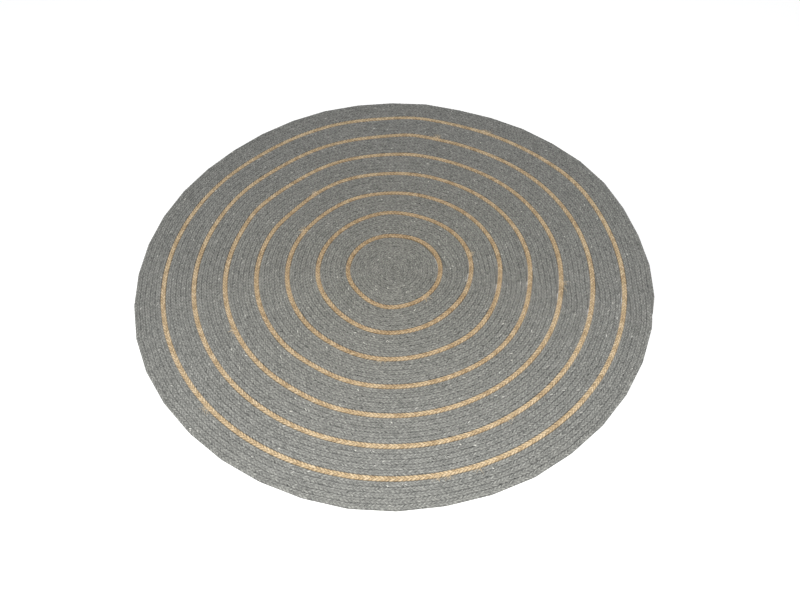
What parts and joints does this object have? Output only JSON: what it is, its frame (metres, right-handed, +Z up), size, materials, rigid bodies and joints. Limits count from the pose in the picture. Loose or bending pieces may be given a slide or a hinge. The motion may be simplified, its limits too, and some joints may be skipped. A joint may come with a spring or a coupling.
{
  "type": "round braided rug",
  "caption": "Round flat rug of sewn braids: a grey coil and grey bands parted by narrow closed rings of tan jute braid, with a slightly uneven round outline.",
  "frame": {"origin": "bottom centre of the rug's bounding box, on the floor under its middle", "axes": "+Z up through the thickness, +X to the right and +Y to the back as the rug lies in the picture"},
  "size_m": [1.2034, 1.2032, 0.008],
  "materials": {
    "grey_braid": "matte heathered grey yarn, plaited",
    "jute_braid": "matte golden tan jute, plaited"
  },
  "bodies": {
    "root": {"centre_coil": "grey_braid", "jute_ring_1": "jute_braid", "grey_band_1": "grey_braid", "jute_ring_2": "jute_braid", "grey_band_2": "grey_braid", "jute_ring_3": "jute_braid", "grey_band_3": "grey_braid", "jute_ring_4": "jute_braid", "grey_band_4": "grey_braid", "jute_ring_5": "jute_braid", "grey_band_5": "grey_braid", "jute_ring_6": "jute_braid", "grey_band_6": "grey_braid", "jute_ring_7": "jute_braid", "grey_band_7": "grey_braid"}
  },
  "joints": []
}
